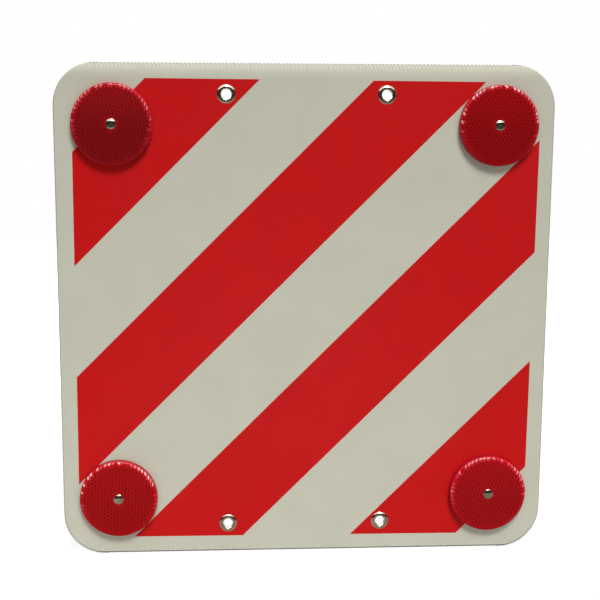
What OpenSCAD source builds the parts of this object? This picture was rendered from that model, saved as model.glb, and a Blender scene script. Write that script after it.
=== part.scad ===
// Overhanging load sign: a fluted plastic board with a reflective face,
// red diagonal bands, four riveted reflectors and four eyelets to tie it by.
// The sign stands upright: X to the right, Z up, and the printed face looks
// along -Y with its plane at Y = 0.

/* [Board] */
// Width of the board, side to side
board_w = 500; // [440:10:600]
// Height of the board, bottom to top
board_h = 500; // [440:10:600]
// Thickness of the twin-wall board
board_t = 3.5; // [3:0.1:6]
// Radius of the four corners
corner_r = 42; // [25:1:60]
// Distance from one rib to the next
flute_pitch = 3.7; // [3:0.1:6]
// Thickness of each skin of the board
skin_t = 0.35; // [0.25:0.05:0.6]
// Thickness of each rib between the skins
rib_t = 0.3; // [0.2:0.05:0.6]
// How far the skins shrink back between ribs at the cut ends
tooth_depth = 0.5; // [0.2:0.1:1]
// Length of the slope from a rib's tip down to the shrunk skin
tooth_flank = 0.8; // [0.4:0.1:1.2]

/* [Face] */
// Thickness of the reflective film
film_t = 0.3; // [0.2:0.05:0.6]
// Depth of the red print in the film
print_t = 0.1; // [0.05:0.05:0.15]
// Pale margin between the board's edge and the red fields
field_margin = 16; // [8:1:30]
// Width of each band, measured square to it
band_w = 80; // [60:1:100]
// Slope of the bands
band_slope = 45; // [35:1:55]
// How far the print sits to the right of the board's middle
print_shift = 0.9; // [-3:0.1:3]
// Turn of the print on the board, its right side down
print_skew = 0.3; // [-1:0.1:1]

/* [Eyelets] */
// Distance between the two eyelets of a row
eyelet_spacing = 160; // [120:5:220]
// Distance of an eyelet row from the board's end
eyelet_inset = 30; // [25:1:40]
// Bore of an eyelet
eyelet_bore_d = 10; // [8:0.5:12]
// Outer diameter of the eyelet's front flange
eyelet_flange_d = 18.4; // [15:0.1:22]
// Radius of the bend from the bore up to the flange's crest
eyelet_bend_r = 1.2; // [0.8:0.1:2]
// Outer diameter of the roll that closes the eyelet at the back
eyelet_roll_d = 14.4; // [13:0.1:16]
// Thickness of the eyelet's metal
eyelet_metal_t = 0.4; // [0.3:0.05:0.6]
// Outer diameter of the washer under the roll
washer_d = 19; // [17:0.5:24]
// Thickness of the washer
washer_t = 0.6; // [0.4:0.1:1]
// Clearance all round the eyelet's barrel
eyelet_fit = 0.2; // [0.05:0.05:0.4]

/* [Reflectors] */
// Diameter of a reflector
reflector_d = 80; // [70:1:90]
// Distance of a reflector's centre from the board's side
reflector_side_inset = 57.2; // [50:0.1:70]
// Distance of a reflector's centre from the board's end
reflector_end_inset = 60; // [50:1:70]
// Thickness of the lens's front wall
lens_t = 2; // [1.5:0.1:3]
// Thickness of the lens's side wall
lens_wall_t = 1.6; // [1.2:0.1:2.5]
// Width of the rounding at the lens's front edge
edge_round_w = 4; // [2:0.1:5]
// Depth of that rounding
edge_round_h = 2.4; // [1.2:0.1:3]
// Diameter of the plain boss round the rivet
boss_d = 15; // [11:0.1:18]
// Distance between the centres of neighbouring prisms
prism_pitch = 4; // [3.5:0.1:5]
// Solid land between the front wall and the prisms
prism_root_h = 0.3; // [0.2:0.1:0.8]
// Air gap between the prisms' tips and the back plate's rim lip
prism_gap = 0.4; // [0.2:0.1:1]
// Thickness of the back plate
back_t = 1.6; // [1.2:0.1:2.5]
// Height of the lip that centres the back plate in the lens
lip_h = 0.8; // [0.4:0.1:1.5]
// Width of that lip
lip_w = 1.2; // [0.8:0.1:2]
// Clearance between the lip and the lens's side wall
lip_fit = 0.15; // [0.05:0.05:0.4]
// Turn of each lens as fitted: top left, top right, bottom left, bottom right
lens_angles = [11, 26, -3, -21];

/* [Rivets] */
// Diameter of the rivet's domed head
rivet_head_d = 10; // [9:0.5:14]
// Height of the head
rivet_head_h = 2.3; // [2:0.1:3.5]
// Height of the head's straight rim, below the dome
rivet_rim_h = 0.5; // [0.3:0.1:0.8]
// Diameter of the rivet's shank
rivet_shank_d = 4.8; // [4:0.1:6]
// Clearance all round the shank
rivet_fit = 0.2; // [0.05:0.05:0.4]
// How far the shank reaches into the cap at the back
cap_socket_h = 1.2; // [0.8:0.1:1.5]
// Clearance between the shank and the cap's socket
cap_fit = 0.05; // [0.02:0.01:0.1]

/* [Hidden] */
$fn = 96;
// Sides of the small round sections that are spun into rolled and rounded edges
section_sides = 32;
// How far a cutting shape runs past the surface that it opens
over = 1;

// Ribs and flutes are counted from the middle, with a closed web at each side.
flute_count = floor((board_w - rib_t) / flute_pitch);
back_y = film_t + board_t;

// Barrel of an eyelet and the holes that it passes through
barrel_r = eyelet_bore_d / 2 + eyelet_metal_t;
eyelet_hole_r = barrel_r + eyelet_fit;
eyelet_x = eyelet_spacing / 2;
eyelet_z = board_h / 2 - eyelet_inset;
grip_h = back_y + washer_t;

// Holes for the rivets
rivet_hole_r = rivet_shank_d / 2 + rivet_fit;
reflector_x = board_w / 2 - reflector_side_inset;
reflector_z = board_h / 2 - reflector_end_inset;

// A corner of a cube seen along its diagonal is a hexagon. Its side is the
// step of a triangular grid: every third grid point is a prism's tip, and the
// points around a tip lie one and two steps of height below it in turn.
grid_step = prism_pitch / sqrt(3);
prism_step_h = prism_pitch / sqrt(6);
prism_h = 2 * prism_step_h;
// How far the prisms' base is sunk into the front wall
prism_sink = 0.5;
// A prism has its tip, the six points around it and the same six sunk below.
points_per_prism = 13;
prism_base_h = back_t + lip_h + prism_gap + prism_h;
lens_inner_h = prism_base_h + prism_root_h;
reflector_h = lens_inner_h + lens_t;

// Red bands are counted in band widths from the middle of the sign.
band_steps = [-3, -1, 1, 3];

// Most pieces are drawn lying down, as seen from the front: x right, y up and
// z towards the viewer, with z = 0 at the printed face. This stands them up.
module upright() {
    rotate([90, 0, 0]) children();
}

module at_reflector(side, end) {
    upright() translate([side * reflector_x, end * reflector_z, 0]) children();
}

module at_eyelet(side, end) {
    upright() translate([side * eyelet_x, end * eyelet_z, 0]) children();
}

// Centre line of a rib, counted from the left
function rib_x(i) = (i - flute_count / 2) * flute_pitch;

// Top end of the board from side to side. Between the corners each rib stands
// out as a tip and the skins lie shrunk back between the tips.
function cut_end() =
    let (
        half_w = board_w / 2 - corner_r,
        first = ceil(flute_count / 2 - half_w / flute_pitch),
        last = flute_count - first
    )
    [
        [-board_w / 2, board_h / 2],
        for (i = [first : last - 1])
            each [
                [rib_x(i), board_h / 2],
                [rib_x(i) + tooth_flank, board_h / 2 - tooth_depth],
                [rib_x(i + 1) - tooth_flank, board_h / 2 - tooth_depth]
            ],
        [rib_x(last), board_h / 2],
        [board_w / 2, board_h / 2]
    ];

// What is cut away outside the round of one corner
module corner_waste(side, end) {
    waste = corner_r + over;
    translate([side * (board_w / 2 - corner_r), end * (board_h / 2 - corner_r)])
        difference() {
            translate([side > 0 ? 0 : -waste, end > 0 ? 0 : -waste]) square(waste);
            circle(r = corner_r);
        }
}

module sign_outline() {
    difference() {
        polygon(concat(cut_end(), [for (p = cut_end()) -p]));
        for (side = [-1, 1], end = [-1, 1]) corner_waste(side, end);
    }
}

// Drills for every eyelet barrel and rivet shank, through the whole sign
module sign_holes() {
    for (side = [-1, 1], end = [-1, 1]) {
        translate([side * eyelet_x, end * eyelet_z, -back_y - over])
            cylinder(r = eyelet_hole_r, h = back_y + 2 * over);
        translate([side * reflector_x, end * reflector_z, -back_y - over])
            cylinder(r = rivet_hole_r, h = back_y + 2 * over);
    }
}

// Section across the flutes: two skins joined by thin ribs
module flute_section() {
    difference() {
        translate([-board_w / 2, film_t]) square([board_w, board_t]);
        for (i = [0 : flute_count - 1])
            translate([rib_x(i) + rib_t / 2, film_t + skin_t])
                square([flute_pitch - rib_t, board_t - 2 * skin_t]);
    }
}

module panel() {
    color([0.93, 0.93, 0.9])
    difference() {
        intersection() {
            translate([0, 0, -board_h / 2])
                linear_extrude(height = board_h) flute_section();
            upright() translate([0, 0, -back_y - over])
                linear_extrude(height = back_y + 2 * over) sign_outline();
        }
        upright() sign_holes();
    }
}

// One diagonal band, clipped to the field inside the pale margin
module band(steps) {
    translate([print_shift, 0]) rotate(-print_skew) intersection() {
        square([board_w - 2 * field_margin, board_h - 2 * field_margin], center = true);
        rotate(-band_slope) translate([steps * band_w, 0])
            square([band_w, board_w + board_h], center = true);
    }
}

module reflective_film() {
    color([0.78, 0.78, 0.72])
    upright() difference() {
        translate([0, 0, -film_t]) linear_extrude(height = film_t) sign_outline();
        for (steps = band_steps)
            translate([0, 0, -print_t]) linear_extrude(height = print_t + over) band(steps);
        sign_holes();
    }
}

module red_stripe(steps) {
    color([0.78, 0.1, 0.1])
    upright() difference() {
        translate([0, 0, -print_t]) linear_extrude(height = print_t) band(steps);
        sign_holes();
    }
}

// Points of one prism about its tip: the tip, the six grid points around it
// and the same six sunk into the front wall. Height runs away from the viewer.
function grid_point(i, j, h) =
    [grid_step * (i + j / 2), grid_step * j * sqrt(3) / 2, lens_inner_h - prism_root_h - h];

ring_steps = [[1, 0], [0, 1], [-1, 1], [-1, 0], [0, -1], [1, -1]];

function prism_points(i, j) = [
    grid_point(i, j, prism_h),
    for (k = [0 : 5])
        grid_point(i + ring_steps[k][0], j + ring_steps[k][1], k % 2 == 0 ? prism_step_h : 0),
    for (k = [0 : 5])
        grid_point(i + ring_steps[k][0], j + ring_steps[k][1], -prism_root_h - prism_sink)
];

// A prism is kept where the whole of it fits between the boss and the side wall.
function prism_fits(i, j) =
    let (r = grid_step * norm([i + j / 2, j * sqrt(3) / 2]))
    (i - j) % 3 == 0
    && r - grid_step > boss_d / 2
    && r + grid_step < reflector_d / 2 - lens_wall_t;

grid_reach = ceil(reflector_d / grid_step);
prism_cells = [
    for (i = [-grid_reach : grid_reach], j = [-grid_reach : grid_reach])
        if (prism_fits(i, j)) [i, j]
];

// The neighbour that lies across side k of a prism's hexagon
function across(cell, k) = cell + ring_steps[k] + ring_steps[(k + 1) % 6];

function prism_faces(cell, n) = [
    [n, n + 1, n + 2, n + 3],
    [n, n + 3, n + 4, n + 5],
    [n, n + 5, n + 6, n + 1],
    [n + 12, n + 11, n + 10, n + 9, n + 8, n + 7],
    for (k = [0 : 5])
        if (!prism_fits(across(cell, k)[0], across(cell, k)[1]))
            [n + 1 + k, n + 7 + k, n + 7 + (k + 1) % 6, n + 1 + (k + 1) % 6]
];

// Field of cube corners on the inside of a lens, as one closed body
module prism_field() {
    polyhedron(
        points = [for (cell = prism_cells) each prism_points(cell[0], cell[1])],
        faces = [
            for (c = [0 : len(prism_cells) - 1])
                each prism_faces(prism_cells[c], points_per_prism * c)
        ]
    );
}

// Clear red cap: front wall with a rounded edge, side wall and centre boss
module lens_shell() {
    outer_r = reflector_d / 2;
    inner_r = outer_r - lens_wall_t;
    step = 360 / section_sides;
    rotate_extrude() polygon([
        [rivet_hole_r, back_t],
        [boss_d / 2, back_t],
        [boss_d / 2, lens_inner_h],
        [inner_r, lens_inner_h],
        [inner_r, back_t],
        [outer_r, back_t],
        for (a = [0 : step : 90])
            [
                outer_r - edge_round_w * (1 - cos(a)),
                reflector_h - edge_round_h * (1 - sin(a))
            ],
        [rivet_hole_r, reflector_h]
    ]);
}

module reflector_lens(turn) {
    color([0.65, 0.02, 0.06])
    rotate(turn) union() {
        lens_shell();
        prism_field();
    }
}

// Flat plate with a lip that centres it inside the lens's side wall
module reflector_back() {
    outer_r = reflector_d / 2;
    lip_r = outer_r - lens_wall_t - lip_fit;
    color([0.5, 0.02, 0.05])
    rotate_extrude() polygon([
        [rivet_hole_r, 0],
        [outer_r, 0],
        [outer_r, back_t],
        [lip_r, back_t],
        [lip_r, back_t + lip_h],
        [lip_r - lip_w, back_t + lip_h],
        [lip_r - lip_w, back_t],
        [rivet_hole_r, back_t]
    ]);
}

// Low dome on a short straight rim, standing on z = 0
module domed_head() {
    head_r = rivet_head_d / 2;
    dome_h = rivet_head_h - rivet_rim_h;
    dome_r = (head_r * head_r + dome_h * dome_h) / (2 * dome_h);
    intersection() {
        translate([0, 0, rivet_head_h - dome_r]) sphere(r = dome_r);
        cylinder(r = head_r, h = rivet_head_h + over);
    }
}

module rivet() {
    shank_h = reflector_h + back_y + cap_socket_h;
    color([0.8, 0.8, 0.82]) {
        translate([0, 0, reflector_h]) domed_head();
        translate([0, 0, reflector_h - shank_h]) cylinder(d = rivet_shank_d, h = shank_h);
    }
}

module rivet_cap() {
    color([0.75, 0.75, 0.77])
    translate([0, 0, -back_y]) mirror([0, 0, 1]) difference() {
        domed_head();
        translate([0, 0, -over])
            cylinder(r = rivet_shank_d / 2 + cap_fit, h = cap_socket_h + over);
    }
}

// Section of the front flange: a tight bend out of the bore up to the crest,
// then a long low slope down to the rim
module front_flange() {
    crest_x = eyelet_bore_d / 2 + eyelet_bend_r;
    slope_w = eyelet_flange_d / 2 - crest_x;
    slope_r = (slope_w * slope_w + eyelet_bend_r * eyelet_bend_r) / (2 * eyelet_bend_r);
    translate([crest_x, 0]) {
        intersection() {
            difference() {
                circle(r = eyelet_bend_r, $fn = section_sides);
                circle(r = eyelet_bend_r - eyelet_metal_t, $fn = section_sides);
            }
            translate([-eyelet_bend_r - over, 0]) square(eyelet_bend_r + over);
        }
        intersection() {
            translate([0, eyelet_bend_r - slope_r]) difference() {
                circle(r = slope_r);
                circle(r = slope_r - eyelet_metal_t);
            }
            square(slope_w + over);
        }
    }
}

// Section of the roll that closes the eyelet at the back, hanging below y = 0
module back_roll() {
    bore_r = eyelet_bore_d / 2;
    roll_r = (eyelet_roll_d / 2 - bore_r) / 2;
    translate([bore_r + roll_r, 0]) intersection() {
        difference() {
            circle(r = roll_r, $fn = section_sides);
            circle(r = roll_r - eyelet_metal_t, $fn = section_sides);
        }
        translate([-roll_r - over, -roll_r - over]) square([2 * roll_r + 2 * over, roll_r + over]);
    }
}

module eyelet() {
    color([0.8, 0.8, 0.78])
    rotate_extrude() {
        front_flange();
        translate([eyelet_bore_d / 2, -grip_h]) square([eyelet_metal_t, grip_h]);
        translate([0, -grip_h]) back_roll();
    }
}

module eyelet_washer() {
    color([0.72, 0.72, 0.7])
    translate([0, 0, -grip_h]) difference() {
        cylinder(d = washer_d, h = washer_t);
        translate([0, 0, -over]) cylinder(r = eyelet_hole_r, h = washer_t + 2 * over);
    }
}

panel();
reflective_film();
red_stripe(band_steps[0]);  // red_stripe_1
red_stripe(band_steps[1]);  // red_stripe_2
red_stripe(band_steps[2]);  // red_stripe_3
red_stripe(band_steps[3]);  // red_stripe_4

at_reflector(-1, 1) reflector_lens(lens_angles[0]);  // reflector_lens_top_left
at_reflector(1, 1) reflector_lens(lens_angles[1]);  // reflector_lens_top_right
at_reflector(-1, -1) reflector_lens(lens_angles[2]);  // reflector_lens_bottom_left
at_reflector(1, -1) reflector_lens(lens_angles[3]);  // reflector_lens_bottom_right

at_reflector(-1, 1) reflector_back();  // reflector_back_top_left
at_reflector(1, 1) reflector_back();  // reflector_back_top_right
at_reflector(-1, -1) reflector_back();  // reflector_back_bottom_left
at_reflector(1, -1) reflector_back();  // reflector_back_bottom_right

at_reflector(-1, 1) rivet();  // rivet_top_left
at_reflector(1, 1) rivet();  // rivet_top_right
at_reflector(-1, -1) rivet();  // rivet_bottom_left
at_reflector(1, -1) rivet();  // rivet_bottom_right

at_reflector(-1, 1) rivet_cap();  // rivet_cap_top_left
at_reflector(1, 1) rivet_cap();  // rivet_cap_top_right
at_reflector(-1, -1) rivet_cap();  // rivet_cap_bottom_left
at_reflector(1, -1) rivet_cap();  // rivet_cap_bottom_right

at_eyelet(-1, 1) eyelet();  // eyelet_top_left
at_eyelet(1, 1) eyelet();  // eyelet_top_right
at_eyelet(-1, -1) eyelet();  // eyelet_bottom_left
at_eyelet(1, -1) eyelet();  // eyelet_bottom_right

at_eyelet(-1, 1) eyelet_washer();  // eyelet_washer_top_left
at_eyelet(1, 1) eyelet_washer();  // eyelet_washer_top_right
at_eyelet(-1, -1) eyelet_washer();  // eyelet_washer_bottom_left
at_eyelet(1, -1) eyelet_washer();  // eyelet_washer_bottom_right
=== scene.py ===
# %% [markdown]
# # An overhanging load sign
#
# A board like this is tied to the back of a load that sticks out, so that whoever drives behind
# sees how far it reaches. It is a twin-wall plastic board with a reflective face, four red bands,
# four round reflectors held by rivets, and four metal eyelets for the cords.
#
# The shapes come from a CAD model that is loaded below and never changed. What Blender adds is how
# each piece looks: what it is made of, how it takes the light, and the marks that making left on it.

# %% Load the sign
import math

import bmesh
import bpy
from mathutils import Matrix, Vector


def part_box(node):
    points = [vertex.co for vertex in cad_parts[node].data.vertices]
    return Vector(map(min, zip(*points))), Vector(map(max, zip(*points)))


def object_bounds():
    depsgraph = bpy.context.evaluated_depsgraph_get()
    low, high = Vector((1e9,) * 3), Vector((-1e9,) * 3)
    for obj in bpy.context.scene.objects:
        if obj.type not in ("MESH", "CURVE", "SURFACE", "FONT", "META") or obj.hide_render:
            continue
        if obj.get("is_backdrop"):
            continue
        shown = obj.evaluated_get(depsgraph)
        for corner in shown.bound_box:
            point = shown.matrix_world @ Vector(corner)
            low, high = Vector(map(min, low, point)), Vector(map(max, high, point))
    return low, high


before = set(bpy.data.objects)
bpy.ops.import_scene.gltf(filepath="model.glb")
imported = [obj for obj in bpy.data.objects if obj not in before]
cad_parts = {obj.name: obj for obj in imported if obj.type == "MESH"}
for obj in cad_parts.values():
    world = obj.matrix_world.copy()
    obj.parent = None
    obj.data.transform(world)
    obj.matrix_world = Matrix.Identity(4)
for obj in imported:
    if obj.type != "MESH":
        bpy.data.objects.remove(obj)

MM = 0.001
CORNERS = ("top_left", "top_right", "bottom_left", "bottom_right")
scene = bpy.context.scene


def box_of_everything():
    """Lowest and highest corner of the whole sign, as plain lists."""
    return [[float(value) for value in corner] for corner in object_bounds()]


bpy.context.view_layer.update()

# %% [markdown]
# ## Sizes that the looks need
#
# A printed line or a moulded pattern has to fall where the real one does: a rib's line over a rib,
# a prism under its own lens. So the sizes are read from the loaded pieces where they can be, and
# only what a box doesn't tell, such as the distance between two ribs, is written down here.

# %% Measure the board and its fittings
low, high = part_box("panel")
BOARD_HALF_W = high.x
BOARD_HALF_H = high.z
CORNER_R = 42 * MM
FLUTE_PITCH = 3.7 * MM
PRISM_PITCH = 4 * MM


def middle(node):
    """Middle of a piece's box."""
    a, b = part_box(node)
    return (a + b) / 2


reflector_at = {corner: middle("reflector_lens_" + corner) for corner in CORNERS}
eyelet_at = {corner: middle("eyelet_" + corner) for corner in CORNERS}
lens_low, lens_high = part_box("reflector_lens_top_left")
REFLECTOR_R = (lens_high.x - lens_low.x) / 2
REFLECTOR_TURN = dict(zip(CORNERS, (11, 26, -3, -21)))
print("board half width", BOARD_HALF_W, "reflector radius", REFLECTOR_R)

# %% [markdown]
# ## The camera
#
# The photograph was taken from about a metre away, a little above the middle and a little to the
# left. The board is square, so its four corners in the picture give the camera's place, its tilt
# and its lens. The small shift is there because the picture was cropped off centre.

# %% Place the camera
PICTURE_PX = 600
camera_data = bpy.data.cameras.new("photo_camera")
camera_data.sensor_width = 36
camera_data.lens = 60
camera_data.shift_x = 32.7 / PICTURE_PX
camera_data.shift_y = 26.9 / PICTURE_PX
camera_data.clip_end = 50
camera = bpy.data.objects.new("photo_camera", camera_data)
camera.location = Vector((-91.6, -1009.8, 133.0)) * MM
camera.rotation_euler = [math.radians(a) for a in (90 - 8.185, -0.062, -2.966)]
scene.collection.objects.link(camera)
scene.camera = camera
print("camera at", tuple(camera.location))

# %% [markdown]
# ## Light
#
# The picture was lit from above, a little from the right, by something broad: each reflector has a
# soft shadow just below it. A large lamp does that, and a second one in front keeps the face even.
# They are set so that a colour comes out of the render about as it is written.

# %% Hang the lamps


def hang_lamp(name, place, target, size, watts):
    """A round lamp at place that faces target."""
    data = bpy.data.lights.new(name, "AREA")
    data.shape = "DISK"
    data.size = size
    data.energy = watts
    lamp = bpy.data.objects.new(name, data)
    lamp.location = place
    lamp.rotation_euler = (Vector(target) - Vector(place)).to_track_quat("-Z", "Y").to_euler()
    scene.collection.objects.link(lamp)
    return lamp


hang_lamp("key_lamp", (1.6, -8.0, 10.4), (0, 0, -0.05), 5.2, 1540)
hang_lamp("right_lamp", (1.9, -2.9, 0.35), (0, 0, -0.1), 1.2, 6).visible_glossy = False
hang_lamp("left_lamp", (-1.9, -2.9, 0.3), (0, 0, -0.15), 1.2, 5).visible_glossy = False
low_lamp = hang_lamp("low_lamp", (0, -0.55, -0.23), (0, 0, -0.05), 0.5, 0.85)
low_lamp.visible_glossy = False
low_lamp.visible_camera = False
hang_lamp("back_lamp", (-1.2, 2.4, 1.6), (0, 0, 0), 1.6, 78)

# %% [markdown]
# ## Small helpers for materials
#
# A procedural material is a chain of small sums on the place of each point. These helpers keep the
# chains short to write: each adds one node, joins it up and hands back what it puts out.

# %% Write the node helpers


def paint(red, green, blue):
    """A colour as a screen shows it, 0 to 255, turned into the linear one that a shader takes."""
    def linear(value):
        value /= 255
        return value / 12.92 if value <= 0.04045 else ((value + 0.055) / 1.055) ** 2.4
    return (linear(red), linear(green), linear(blue), 1.0)


def feed(tree, socket, value):
    """Join a socket to another node's output, or set it to a plain value."""
    if isinstance(value, bpy.types.NodeSocket):
        tree.links.new(value, socket)
    elif value is not None:
        socket.default_value = value


def sums(tree, operation, first, second=None, third=None, clamp=False):
    """One Math node."""
    node = tree.nodes.new("ShaderNodeMath")
    node.operation = operation
    node.use_clamp = clamp
    for socket, value in zip(node.inputs, (first, second, third)):
        feed(tree, socket, value)
    return node.outputs[0]


def between(tree, value, start, end, to_start=0.0, to_end=1.0, smooth=True):
    """A value mapped from one range to another and held at its ends."""
    node = tree.nodes.new("ShaderNodeMapRange")
    node.interpolation_type = "SMOOTHSTEP" if smooth else "LINEAR"
    for name, given in (("Value", value), ("From Min", start), ("From Max", end),
                        ("To Min", to_start), ("To Max", to_end)):
        feed(tree, node.inputs[name], given)
    return node.outputs["Result"]


def blend_colours(tree, amount, first, second, mode="MIX"):
    """One Mix node for colours."""
    node = tree.nodes.new("ShaderNodeMix")
    node.data_type = "RGBA"
    node.blend_type = mode
    node.clamp_factor = True
    feed(tree, node.inputs["Factor"], amount)
    colour_inputs = [s for s in node.inputs if s.type == "RGBA"]
    feed(tree, colour_inputs[0], first)
    feed(tree, colour_inputs[1], second)
    return next(s for s in node.outputs if s.type == "RGBA")


def cloud(tree, vector, size, detail=2.0, roughness=0.5):
    """Soft random spots about as big as size, in metres, from 0 to 1."""
    node = tree.nodes.new("ShaderNodeTexNoise")
    feed(tree, node.inputs["Vector"], vector)
    node.inputs["Scale"].default_value = 1 / size
    node.inputs["Detail"].default_value = detail
    node.inputs["Roughness"].default_value = roughness
    return node.outputs["Fac"]


def place_on_piece(tree, centre=(0, 0, 0), turn=0.0, stretch=(1, 1, 1)):
    """Where a point lies on its piece, measured from centre and turned about the Y axis."""
    where = tree.nodes.new("ShaderNodeTexCoord").outputs["Object"]
    moved = tree.nodes.new("ShaderNodeVectorMath")
    moved.operation = "SUBTRACT"
    feed(tree, moved.inputs[0], where)
    moved.inputs[1].default_value = centre
    turned = tree.nodes.new("ShaderNodeMapping")
    feed(tree, turned.inputs["Vector"], moved.outputs["Vector"])
    turned.inputs["Rotation"].default_value = (0, turn, 0)
    turned.inputs["Scale"].default_value = stretch
    return turned.outputs["Vector"]


def parts_of(tree, vector):
    """The x, y and z of a vector."""
    node = tree.nodes.new("ShaderNodeSeparateXYZ")
    feed(tree, node.inputs[0], vector)
    return node.outputs["X"], node.outputs["Y"], node.outputs["Z"]


def bumped(tree, height, depth, strength=1.0, normal=None):
    """A normal that leans as a relief of this height, 0 to 1, and depth in metres would."""
    node = tree.nodes.new("ShaderNodeBump")
    feed(tree, node.inputs["Height"], height)
    node.inputs["Distance"].default_value = depth
    node.inputs["Strength"].default_value = strength
    feed(tree, node.inputs["Normal"], normal)
    return node.outputs["Normal"]


def new_effect(name, inputs, outputs):
    """An empty node group with named sockets: its tree, its inputs and its output node."""
    tree = bpy.data.node_groups.new(name, "ShaderNodeTree")
    for label, kind, value in inputs:
        socket = tree.interface.new_socket(label, in_out="INPUT", socket_type=kind)
        if value is not None:
            socket.default_value = value
    for label, kind in outputs:
        tree.interface.new_socket(label, in_out="OUTPUT", socket_type=kind)
    source = tree.nodes.new("NodeGroupInput").outputs
    target = tree.nodes.new("NodeGroupOutput").inputs
    return tree, source, target


def use_effect(tree, group, **values):
    """Place an effect in a material. A word in values names a socket, with _ for a space."""
    node = tree.nodes.new("ShaderNodeGroup")
    node.node_tree = group
    for label, value in values.items():
        feed(tree, node.inputs[label.replace("_", " ")], value)
    return node.outputs


def new_finish(name, **values):
    """A material with one Principled BSDF, whose plain values are set here."""
    material = bpy.data.materials.new(name)
    material.use_nodes = True
    shader = material.node_tree.nodes["Principled BSDF"]
    for label, value in values.items():
        shader.inputs[label.replace("_", " ")].default_value = value
    return material, material.node_tree, shader.inputs


def dress(node, material):
    """Give a CAD piece its finish."""
    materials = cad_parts[node].data.materials
    materials.clear()
    materials.append(material)


# %% [markdown]
# ## Effects that several finishes share
#
# **Flutes.** The board is two thin skins on upright ribs. The film on the front follows the skin,
# which is tight over each rib and sags a little between two, so the ribs show as fine lines.
#
# **Board's edge.** The press that cuts the board out pushes its rim down. The rim turns away from
# the viewer all round, and at the open ends of the flutes each little channel is pressed flat.
#
# **Handling.** Plastic and metal carry fine scratches and a slightly uneven gloss.

# %% Flutes
POSITION, NUMBER, SHADE = "NodeSocketVector", "NodeSocketFloat", "NodeSocketColor"

flutes, given, result = new_effect(
    "flutes",
    [("Position", POSITION, None), ("Pitch", NUMBER, FLUTE_PITCH)],
    [("Rib", NUMBER), ("Sag", NUMBER)],
)
x, y, z = parts_of(flutes, given["Position"])
# The middle of a flute lies at x = 0, so a rib is half a pitch away.
step = sums(flutes, "DIVIDE", x, given["Pitch"])
drift = sums(flutes, "MULTIPLY", cloud(flutes, given["Position"], 0.06, 1.0), 0.12)
step = sums(flutes, "ADD", step, drift)
off_rib = sums(flutes, "PINGPONG", sums(flutes, "ADD", step, 0.5), 0.5)
feed(flutes, result["Rib"], between(flutes, off_rib, 0.16, 0.0))
feed(flutes, result["Sag"], between(flutes, off_rib, 0.5, 0.0))
print("effect:", flutes.name)

# %% The board's edge
board_edge, given, result = new_effect(
    "board_edge",
    [("Position", POSITION, None), ("Rim", NUMBER, 1.4 * MM), ("Press", NUMBER, 9 * MM)],
    [("Rim", NUMBER), ("Pressed", NUMBER)],
)
x, y, z = parts_of(board_edge, given["Position"])
across = sums(board_edge, "ABSOLUTE", x)
upward = sums(board_edge, "ABSOLUTE", z)
# How far a point lies inside the outline: straight sides, and a quarter circle at each corner.
side = sums(board_edge, "SUBTRACT", across, BOARD_HALF_W - CORNER_R)
end = sums(board_edge, "SUBTRACT", upward, BOARD_HALF_H - CORNER_R)
side_out = sums(board_edge, "MAXIMUM", side, 0.0)
end_out = sums(board_edge, "MAXIMUM", end, 0.0)
round_part = sums(board_edge, "SQRT", sums(
    board_edge, "ADD",
    sums(board_edge, "MULTIPLY", side_out, side_out),
    sums(board_edge, "MULTIPLY", end_out, end_out)))
straight_part = sums(board_edge, "MINIMUM", sums(board_edge, "MAXIMUM", side, end), 0.0)
inside = sums(board_edge, "SUBTRACT", CORNER_R, sums(board_edge, "ADD", round_part, straight_part))
feed(board_edge, result["Rim"], between(board_edge, inside, given["Rim"], 0.0))
from_end = sums(board_edge, "SUBTRACT", BOARD_HALF_H, upward)
feed(board_edge, result["Pressed"], between(board_edge, from_end, given["Press"], 0.0))
print("effect:", board_edge.name)

# %% Handling
handling, given, result = new_effect(
    "handling",
    [("Position", POSITION, None), ("Size", NUMBER, 1.0)],
    [("Scratches", NUMBER), ("Smudges", NUMBER), ("Grain", NUMBER)],
)
sized = handling.nodes.new("ShaderNodeVectorMath")
sized.operation = "SCALE"
feed(handling, sized.inputs[0], given["Position"])
feed(handling, sized.inputs["Scale"], given["Size"])
sized = sized.outputs["Vector"]
fine_lines = None
for turn in (0.4, 1.9):
    slanted = handling.nodes.new("ShaderNodeMapping")
    feed(handling, slanted.inputs["Vector"], sized)
    slanted.inputs["Rotation"].default_value = (0.2, turn, 0.1)
    slanted.inputs["Scale"].default_value = (1.0, 1.0, 0.04)
    streaks = cloud(handling, slanted.outputs["Vector"], 0.0025, 3.0, 0.6)
    line = between(handling, streaks, 0.68, 0.75)
    fine_lines = line if fine_lines is None else sums(handling, "MAXIMUM", fine_lines, line)
feed(handling, result["Scratches"], fine_lines)
feed(handling, result["Smudges"], between(handling, cloud(handling, sized, 0.05, 3.0), 0.35, 0.7))
feed(handling, result["Grain"], cloud(handling, sized, 0.0006, 2.0))
print("effect:", handling.name)

# %% [markdown]
# ## The reflective film and the red print
#
# The film is full of tiny glass beads. By day they make it a flat, greenish grey rather than
# white, a touch darker over the ribs. The red is a see-through ink over the same film, so it
# shares the ribs, the rim and the grain, and only its colour and its gloss are its own.

# %% Film and print


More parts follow.
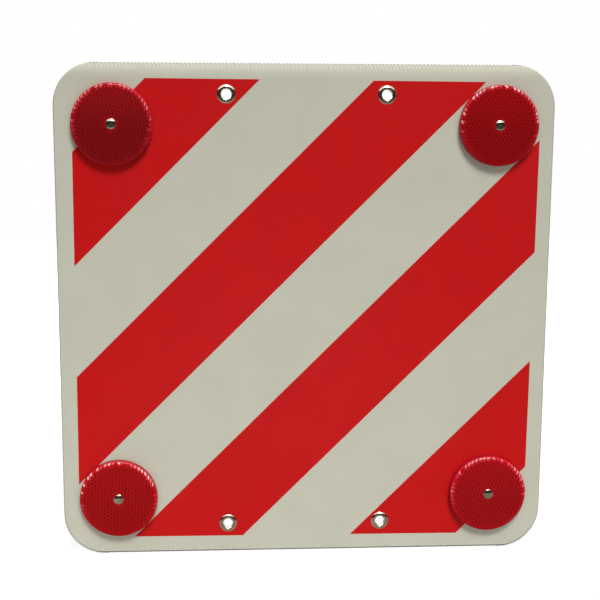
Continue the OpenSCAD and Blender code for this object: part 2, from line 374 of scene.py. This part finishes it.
def face_finish(name, pale, deep, gloss):
    """A finish for the printed face: pale and deep are its colour between and over the ribs."""
    material, tree, shader = new_finish(
        name, Roughness=gloss, Specular_IOR_Level=0.14, Coat_Roughness=0.25)
    where = place_on_piece(tree)
    ribs = use_effect(tree, flutes, Position=where)
    edge = use_effect(tree, board_edge, Position=where)
    marks = use_effect(tree, handling, Position=where)
    base = blend_colours(tree, sums(tree, "MULTIPLY", ribs["Rib"], 0.2), pale, deep)
    base = blend_colours(tree, sums(tree, "MULTIPLY", marks["Smudges"], 0.22), base, deep)
    base = blend_colours(tree, sums(tree, "MULTIPLY", marks["Grain"], 0.10), base, deep)
    # At the pressed ends of the flutes the film is made a little paler over each rib.
    fingers = sums(tree, "MULTIPLY", edge["Pressed"], ribs["Sag"])
    base = blend_colours(tree, sums(tree, "MULTIPLY", fingers, 0.42), base, paint(226, 226, 211))
    # Painted shade: the rim, where it turns away, is darkened towards the deep colour.
    base = blend_colours(tree, sums(tree, "MULTIPLY", edge["Rim"], 0.35), base, deep)
    # Each tooth of the cut edge is bent so far over that it lies in its own shade.
    tooth = sums(tree, "MULTIPLY", between(tree, edge["Pressed"], 0.93, 0.99), ribs["Sag"])
    base = blend_colours(tree, sums(tree, "MULTIPLY", tooth, 0.85), base, paint(112, 114, 108))
    height = parts_of(tree, where)[2]
    # Painted light: the face is made up to 30 % paler towards its top edge.
    painted_top_light = between(tree, height, BOARD_HALF_H - 16 * MM, BOARD_HALF_H, 1.0, 1.3)
    base = blend_colours(tree, 1.0, base, painted_top_light, "MULTIPLY")
    # Painted shade: a dark line along the bottom edge, where the rim turns under.
    painted_bottom_shade = between(tree, height, -BOARD_HALF_H + 1.8 * MM, -BOARD_HALF_H + 0.6 * MM)
    base = blend_colours(tree, sums(tree, "MULTIPLY", painted_bottom_shade, 0.85), base, paint(84, 86, 84))
    feed(tree, shader["Base Color"], base)
    feed(tree, shader["Roughness"], between(
        tree, marks["Smudges"], 0.0, 1.0, gloss, gloss + 0.12, smooth=False))
    feed(tree, shader["Coat Weight"], between(
        tree, marks["Smudges"], 0.0, 1.0, 0.05, 0.02, smooth=False))
    relief = bumped(tree, ribs["Sag"], -0.02 * MM)
    relief = bumped(tree, fingers, -0.5 * MM, normal=relief)
    relief = bumped(tree, edge["Rim"], -0.8 * MM, normal=relief)
    relief = bumped(tree, marks["Grain"], 0.02 * MM, 0.5, normal=relief)
    feed(tree, shader["Normal"], relief)
    return material


film_finish = face_finish("film", paint(199, 198, 181), paint(181, 181, 163), 0.5)
print_finish = face_finish("print_red", paint(199, 17, 18), paint(176, 9, 12), 0.42)
dress("reflective_film", film_finish)
for number in (1, 2, 3, 4):
    dress("red_stripe_" + str(number), print_finish)
print("face dressed")

# %% [markdown]
# ## The board
#
# The board itself shows at its cut edges and from behind: milky polypropylene, soft to the eye,
# with the ribs showing through its thin skin as paler lines.

# %% Board
board_finish, tree, shader = new_finish("board", Roughness=0.45, IOR=1.49)
where = place_on_piece(tree)
ribs = use_effect(tree, flutes, Position=where)
edge = use_effect(tree, board_edge, Position=where)
marks = use_effect(tree, handling, Position=where)
base = blend_colours(tree, ribs["Rib"], paint(214, 214, 206), paint(228, 228, 221))
base = blend_colours(
    tree, sums(tree, "MULTIPLY", marks["Smudges"], 0.3), base, paint(204, 203, 192))
base = blend_colours(
    tree, sums(tree, "MULTIPLY", marks["Scratches"], 0.25), base, paint(240, 240, 235))
feed(tree, shader["Base Color"], base)
feed(tree, shader["Roughness"], between(
    tree, marks["Scratches"], 0.0, 1.0, 0.42, 0.6, smooth=False))
relief = bumped(tree, ribs["Sag"], -0.06 * MM)
relief = bumped(tree, edge["Rim"], -0.4 * MM, normal=relief)
relief = bumped(tree, marks["Grain"], 0.02 * MM, 0.5, normal=relief)
feed(tree, shader["Normal"], relief)
dress("panel", board_finish)
print("board dressed")

# %% [markdown]
# ## The reflectors
#
# A reflector is a clear red cap whose inside is a field of cube corners. Light that comes in
# leaves the way it came, so to anyone who isn't beside the lamp the field looks dark, with a
# darker dot at the tip of every prism. The plain wall round the field and the plain boss round
# the rivet have no prisms, and there the plastic looks brighter.
#
# The smooth front is the coat of the shader. Under it, the field is a pattern of hexagons with
# three facets each, set out on the same grid as the prisms of the CAD model.

# %% Prism field
prisms, given, result = new_effect(
    "prisms",
    [("Position", POSITION, None), ("Pitch", NUMBER, PRISM_PITCH)],
    [("Height", NUMBER), ("Tip", NUMBER), ("Facet", NUMBER)],
)
x, y, z = parts_of(prisms, given["Position"])
row_w = sums(prisms, "MULTIPLY", given["Pitch"], math.sqrt(3))
half_pitch = sums(prisms, "MULTIPLY", given["Pitch"], 0.5)
half_row = sums(prisms, "MULTIPLY", row_w, 0.5)


def centred(value, size, shift):
    """How far value is from the nearest multiple of size, after a shift."""
    moved = sums(prisms, "ADD", value, shift)
    half = sums(prisms, "MULTIPLY", size, 0.5)
    wrapped = sums(prisms, "WRAP", moved, half, sums(prisms, "MULTIPLY", half, -1.0))
    return wrapped


def squared_length(a, b):
    """a squared plus b squared."""
    return sums(prisms, "ADD", sums(prisms, "MULTIPLY", a, a), sums(prisms, "MULTIPLY", b, b))


# A grid of triangles is two square-cornered grids, the second half a step along from the first.
near_x, near_z = centred(x, row_w, 0.0), centred(z, given["Pitch"], 0.0)
far_x, far_z = centred(x, row_w, half_row), centred(z, given["Pitch"], half_pitch)
near, far = squared_length(near_x, near_z), squared_length(far_x, far_z)
use_far = sums(prisms, "LESS_THAN", far, near)


def pick(first, second):
    """first where the near grid's tip is closer, otherwise second."""
    return sums(prisms, "MULTIPLY_ADD", sums(prisms, "SUBTRACT", second, first), use_far, first)


from_x, from_z = pick(near_x, far_x), pick(near_z, far_z)
from_tip = sums(prisms, "SQRT", pick(near, far))
angle = sums(prisms, "ARCTAN2", from_z, from_x)
third = sums(prisms, "FRACT", sums(prisms, "DIVIDE", sums(prisms, "ADD", angle, 7.0), math.tau))
facet = sums(prisms, "FLOOR", sums(prisms, "MULTIPLY", third, 3.0))
feed(prisms, result["Facet"], sums(prisms, "MULTIPLY", facet, 0.5))
feed(prisms, result["Tip"], between(prisms, from_tip, 1.6 * MM, 0.5 * MM))
# Each facet falls from the tip along its own middle line.
middle_line = sums(prisms, "MULTIPLY", sums(prisms, "ADD", facet, 0.5), math.tau / 3)
along = sums(prisms, "ADD",
             sums(prisms, "MULTIPLY", from_x, sums(prisms, "COSINE", middle_line)),
             sums(prisms, "MULTIPLY", from_z, sums(prisms, "SINE", middle_line)))
feed(prisms, result["Height"], sums(prisms, "DIVIDE", along, given["Pitch"]))
print("effect:", prisms.name)

# %% Glints along the rim
rim_glints, given, result = new_effect(
    "rim_glints",
    [("Position", POSITION, None), ("Radius", NUMBER, REFLECTOR_R), ("Count", NUMBER, 56.0), ("Seed", NUMBER, 0.0)],
    [("Dashes", NUMBER), ("Own", NUMBER), ("Dots", NUMBER)],
)
x, y, z = parts_of(rim_glints, given["Position"])
radius = sums(rim_glints, "SQRT", sums(
    rim_glints, "ADD",
    sums(rim_glints, "MULTIPLY", x, x), sums(rim_glints, "MULTIPLY", z, z)))
inward = sums(rim_glints, "SUBTRACT", given["Radius"], radius)
# Part of a turn from the top, the same on both sides.
turned = sums(rim_glints, "DIVIDE", sums(
    rim_glints, "ABSOLUTE", sums(rim_glints, "ARCTAN2", x, z)), math.tau)
uneven = sums(rim_glints, "MULTIPLY", cloud(rim_glints, given["Position"], 12 * MM, 1.0), 1.2)
step = sums(rim_glints, "MULTIPLY_ADD", turned, given["Count"], uneven)
# The left side draws other chances than the right, and each lens has its own.
seed = sums(rim_glints, "MULTIPLY_ADD", sums(
    rim_glints, "GREATER_THAN", x, 0.0), 200.0, given["Seed"])
# A dash runs inward as it goes down, so each one lies a little aslant.
step = sums(rim_glints, "MULTIPLY_ADD", inward, -1 / (4.5 * MM), step)


def marks_at(shift, half_width, ring_start, ring_end):
    """Marks of a ring of dashes and each one's own brightness. Shift is in steps."""
    moved = sums(rim_glints, "ADD", step, shift)
    chance = rim_glints.nodes.new("ShaderNodeTexWhiteNoise")
    chance.noise_dimensions = "1D"
    feed(rim_glints, chance.inputs["W"], sums(
        rim_glints, "ADD", sums(rim_glints, "FLOOR", moved), seed))
    place = sums(rim_glints, "FRACT", moved)
    off = sums(rim_glints, "ABSOLUTE", sums(rim_glints, "SUBTRACT", place, 0.5))
    mark = between(rim_glints, off, half_width, half_width * 0.5)
    ring = sums(rim_glints, "MULTIPLY",
                between(rim_glints, inward, ring_start, ring_start + 0.6 * MM),
                between(rim_glints, inward, ring_end, ring_end - 0.6 * MM))
    return sums(rim_glints, "MULTIPLY", mark, ring), chance.outputs["Value"]


dashes, own = marks_at(0.0, 0.36, 0.4 * MM, 2.9 * MM)
feed(rim_glints, result["Dashes"], dashes)
feed(rim_glints, result["Own"], own)
dots, own = marks_at(0.5, 0.34, 2.9 * MM, 5.0 * MM)
feed(rim_glints, result["Dots"], sums(rim_glints, "MULTIPLY", dots, own))
print("effect:", rim_glints.name)

# %% Lenses


def lens_finish(corner, lit_facet, shaded_facet, tip, painted_upper_light, sparkle):
    """Clear red plastic over the prisms of one reflector."""
    material, tree, shader = new_finish(
        "lens_" + corner, Coat_Roughness=0.04, IOR=1.49, Specular_IOR_Level=0.07)
    centre = reflector_at[corner]
    where = place_on_piece(tree, centre, math.radians(REFLECTOR_TURN[corner]))
    field = use_effect(tree, prisms, Position=where)
    marks = use_effect(tree, handling, Position=where, Size=1.5)
    x, y, z = parts_of(tree, where)
    radius = sums(tree, "SQRT", sums(
        tree, "ADD", sums(tree, "MULTIPLY", x, x), sums(tree, "MULTIPLY", z, z)))
    rim = between(tree, radius, REFLECTOR_R - RIM_W - 0.4 * MM, REFLECTOR_R - RIM_W + 0.8 * MM)
    lip_highlight = between(tree, radius, REFLECTOR_R - 1.3 * MM, REFLECTOR_R - 0.5 * MM)
    boss = between(tree, radius, BOSS_R + 0.5 * MM, BOSS_R - 0.5 * MM)
    # The outermost prisms are cut by the rim, and the cut ends shine through the rounded edge. These glints are
    # painted highlights, stronger towards the top.
    upright = place_on_piece(tree, centre)
    glints = use_effect(tree, rim_glints, Position=upright, Seed=500.0 * CORNERS.index(corner))
    upward = parts_of(tree, upright)[2]
    lit = between(tree, upward, -0.9 * REFLECTOR_R, 0.5 * REFLECTOR_R, 0.12, 1.0)
    lively = cloud(tree, place_on_piece(tree), 15 * MM, 1.0)
    dashes = sums(tree, "MULTIPLY", glints["Dashes"], sums(
        tree, "MULTIPLY", lit, between(tree, glints["Own"], 0.0, 0.4)))
    dots = sums(tree, "MULTIPLY", glints["Dots"], sums(
        tree, "MULTIPLY", lit, between(tree, lively, 0.3, 0.46)))
    bright = sums(tree, "MULTIPLY", sums(
        tree, "MULTIPLY", dashes, between(tree, upward, -0.5 * REFLECTOR_R, 0.5 * REFLECTOR_R)),
        sums(tree, "MULTIPLY", between(tree, lively, 0.32, 0.46), between(tree, glints["Own"], 0.25, 0.75)))
    wall = between(tree, y, -1.3 * MM, -0.5 * MM)
    patches = between(tree, cloud(tree, where, 9 * MM, 2.0), 0.35, 0.65)
    # Painted light and shade: the three facets of each prism take a lit or a shaded red by the way they face.
    base = blend_colours(tree, field["Facet"], lit_facet, shaded_facet)
    base = blend_colours(tree, sums(tree, "MULTIPLY", field["Tip"], 0.8), base, tip)
    base = blend_colours(tree, sums(tree, "MULTIPLY", patches, 0.35), base, shaded_facet)
    base = blend_colours(tree, sums(tree, "MULTIPLY", boss, 0.6), base, paint(160, 12, 20))
    base = blend_colours(tree, sums(tree, "MULTIPLY", rim, 0.7), base, lit_facet)
    # Painted highlight: a paler pink line along the rounded edge.
    base = blend_colours(tree, sums(tree, "MULTIPLY", lip_highlight, 0.75), base, paint(196, 32, 52))
    base = blend_colours(tree, sums(tree, "MULTIPLY", wall, 0.9), base, paint(170, 20, 42))
    # Painted light: each lens is made brighter towards its top.
    base = blend_colours(tree, 1.0, base, between(
        tree, upward, -0.3 * REFLECTOR_R, 0.9 * REFLECTOR_R, 1.0, painted_upper_light), "MULTIPLY")
    # Painted glints: red dots, red dashes and the brightest pale dashes.
    base = blend_colours(tree, sums(tree, "MULTIPLY", dots, 0.9), base, paint(238, 52, 58))
    base = blend_colours(tree, sums(tree, "MULTIPLY", dashes, 0.8), base, paint(228, 46, 66))
    base = blend_colours(
        tree, sums(tree, "MULTIPLY", bright, sparkle), base, paint(255, 214, 214))
    feed(tree, shader["Base Color"], base)
    feed(tree, shader["Coat Weight"], between(tree, rim, 0.0, 1.0, 0.16, 0.08, smooth=False))
    gloss = between(tree, rim, 0.0, 1.0, 0.35, 0.14, smooth=False)
    feed(tree, shader["Roughness"], sums(
        tree, "ADD", gloss, sums(tree, "MULTIPLY", marks["Scratches"], 0.1)))
    prism_part = sums(tree, "SUBTRACT", 1.0, sums(tree, "MAXIMUM", boss, rim))
    relief = bumped(tree, sums(tree, "MULTIPLY", field["Height"], prism_part), 0.9 * MM, 0.7)
    feed(tree, shader["Normal"], relief)
    return material


RIM_W = 4 * MM
BOSS_R = 7.5 * MM
# Per lens: the lit and shaded facet reds, the tip, how much brighter the top is, and how strong the glints are. The
# lower pair is painted lighter than the upper pair, as painted light, and the glint strengths set each lens's
# painted highlights.
LENS_REDS_AND_PAINTED_LIGHT = {
    "top_left": (paint(142, 16, 21), paint(116, 11, 15), paint(88, 2, 6), 1.5, 0.4),
    "top_right": (paint(160, 11, 17), paint(134, 7, 11), paint(102, 1, 4), 1.3, 1.0),
    "bottom_left": (paint(176, 10, 14), paint(148, 6, 10), paint(100, 0, 3), 1.15, 0.95),
    "bottom_right": (paint(178, 13, 20), paint(146, 9, 15), paint(92, 1, 5), 1.2, 0.45),
}
for corner in CORNERS:
    dress("reflector_lens_" + corner, lens_finish(corner, *LENS_REDS_AND_PAINTED_LIGHT[corner]))
print("lenses dressed")

# %% Back plates
back_finish, tree, shader = new_finish("reflector_base", Roughness=0.5)
where = place_on_piece(tree)
marks = use_effect(tree, handling, Position=where)
base = blend_colours(
    tree, sums(tree, "MULTIPLY", marks["Smudges"], 0.5), paint(140, 14, 22), paint(118, 8, 16))
feed(tree, shader["Base Color"], base)
feed(tree, shader["Roughness"], between(
    tree, marks["Scratches"], 0.0, 1.0, 0.45, 0.6, smooth=False))
feed(tree, shader["Normal"], bumped(tree, marks["Grain"], 0.03 * MM, 0.5))
for corner in CORNERS:
    dress("reflector_back_" + corner, back_finish)
print("back plates dressed")

# %% [markdown]
# ## The metal
#
# The rivets are nickel plated and the eyelets are plated steel. Plating copies the fine marks of
# the tool that pressed the part, so the metal is bright but never quite a mirror.

# %% Metal


def metal_finish(name, bright, dull, gloss, centre=None):
    """Plated metal, bright where polished and dull where worn. A dome has a centre."""
    material, tree, shader = new_finish(name, Metallic=1.0, Roughness=gloss)
    where = place_on_piece(tree)
    marks = use_effect(tree, handling, Position=where, Size=4.0)
    base = blend_colours(tree, sums(tree, "MULTIPLY", marks["Smudges"], 0.4), bright, dull)
    base = blend_colours(tree, sums(tree, "MULTIPLY", marks["Scratches"], 0.4), base, dull)
    feed(tree, shader["Base Color"], base)
    worn = sums(tree, "ADD", sums(tree, "MULTIPLY", marks["Scratches"], 0.18),
                sums(tree, "MULTIPLY", marks["Smudges"], 0.05))
    feed(tree, shader["Roughness"], sums(tree, "ADD", worn, gloss))
    relief = bumped(tree, marks["Grain"], 0.01 * MM, 0.4)
    relief = bumped(tree, marks["Scratches"], -0.01 * MM, 0.5, normal=relief)
    if centre is not None:
        x, y, z = parts_of(tree, place_on_piece(tree, centre))
        # The tool that sets a rivet presses its dome a little flatter than a ball.
        radius = sums(tree, "SQRT", sums(
            tree, "MULTIPLY_ADD", x, x, sums(tree, "MULTIPLY_ADD", z, z, (1.5 * MM) ** 2)))
        relief = bumped(tree, sums(tree, "DIVIDE", radius, 5 * MM), 0.7 * MM, normal=relief)
    feed(tree, shader["Normal"], relief)
    return material


RIVET_TONES = paint(232, 224, 202), paint(178, 168, 142), 0.06
cap_finish = metal_finish("cap_plate", *RIVET_TONES)
eyelet_finish = metal_finish("eyelet_plate", paint(242, 234, 212), paint(186, 174, 146), 0.1)
washer_finish = metal_finish("washer_plate", paint(204, 203, 198), paint(168, 166, 160), 0.28)
for corner in CORNERS:
    dress("rivet_" + corner, metal_finish(
        "rivet_plate_" + corner, *RIVET_TONES, centre=reflector_at[corner]))
    dress("rivet_cap_" + corner, cap_finish)
    dress("eyelet_" + corner, eyelet_finish)
    dress("eyelet_washer_" + corner, washer_finish)
print("metal dressed")

# %% [markdown]
# ## Floor and background
#
# The picture's background is plain white. The world shows white to the camera, and to what is
# seen in metal behind the sign, while the room in front of it is dimmer, as a real room is. The
# floor has a pale colour of its own and a little more for the camera alone, so that it runs into
# the white and still keeps the sign's shadow.

# %% World
ROOM_LIGHT = 0.14
world = bpy.data.worlds.new("studio")
scene.world = world
world.use_nodes = True
tree = world.node_tree
tree.nodes.clear()
direction = tree.nodes.new("ShaderNodeTexCoord").outputs["Generated"]
x, y, z = parts_of(tree, direction)
rays = tree.nodes.new("ShaderNodeLightPath").outputs
above = between(tree, z, 0.46, 0.6)
below = between(tree, z, -0.1, -0.6)
behind = between(tree, y, -0.1, 0.15)
room = sums(tree, "ADD", above, sums(tree, "MULTIPLY", below, 0.3))
room = sums(tree, "ADD", room, 0.03)
shown = sums(tree, "MAXIMUM", room, behind)
mirrored = sums(tree, "MAXIMUM", rays["Is Glossy Ray"], rays["Is Transmission Ray"])
level = sums(tree, "MULTIPLY_ADD", sums(tree, "SUBTRACT", shown, ROOM_LIGHT), mirrored, ROOM_LIGHT)
seen = rays["Is Camera Ray"]
level = sums(tree, "MULTIPLY_ADD", sums(tree, "SUBTRACT", 1.0, level), seen, level)
background = tree.nodes.new("ShaderNodeBackground")
background.inputs["Color"].default_value = (1, 1, 1, 1)
feed(tree, background.inputs["Strength"], level)
output = tree.nodes.new("ShaderNodeOutputWorld")
tree.links.new(background.outputs[0], output.inputs["Surface"])
print("world:", world.name)

# %% Floor
FLOOR_HALF = 6.0
FLOOR_GAP = 0.2 * MM
floor_mesh = bmesh.new()
bmesh.ops.create_grid(
    floor_mesh, x_segments=1, y_segments=1, size=FLOOR_HALF,
    matrix=Matrix.Translation((0, 0, -BOARD_HALF_H - FLOOR_GAP)))
floor_data = bpy.data.meshes.new("floor")
floor_mesh.to_mesh(floor_data)
floor_mesh.free()
floor = bpy.data.objects.new("floor", floor_data)
scene.collection.objects.link(floor)
floor_finish, tree, shader = new_finish("floor", Roughness=0.9, Specular_IOR_Level=0.0)
shader["Emission Color"].default_value = (1, 1, 1, 1)
x, y, z = parts_of(tree, place_on_piece(tree))
away = sums(tree, "SQRT", sums(
    tree, "ADD", sums(tree, "MULTIPLY", x, x), sums(tree, "MULTIPLY", y, y)))
# Near the sign the floor stays dim enough for its shadow; further off it turns plain white.
lift = sums(tree, "MAXIMUM", between(tree, away, 0.4, 1.6, 0.6, 1.0),
            between(tree, y, -0.42, -0.62, 0.6, 1.0))
rays = tree.nodes.new("ShaderNodeLightPath").outputs
feed(tree, shader["Emission Strength"], sums(tree, "MULTIPLY", rays["Is Camera Ray"], lift))
# The sign stands on a pale table. It lights the lower half of the board from below, and the room
# beyond its front edge is dim, which metal shows as a dark band.
table = blend_colours(
    tree, rays["Is Glossy Ray"], (0.5, 0.5, 0.5, 1), (0.26, 0.25, 0.22, 1))
feed(tree, shader["Base Color"], blend_colours(
    tree, between(tree, y, -0.45, -0.65), table, (0.05, 0.05, 0.045, 1)))
floor_data.materials.append(floor_finish)
floor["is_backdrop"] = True
print("floor at", -BOARD_HALF_H - FLOOR_GAP)

# %% [markdown]
# ## Write the size down
#
# The dressed sign must be exactly as big as the CAD model. The render keeps colours as they are written, and the
# sign's box is written down.

# %% Write the sizes down
view = scene.view_settings
view.view_transform = "Standard"
print("visual box:", box_of_everything())
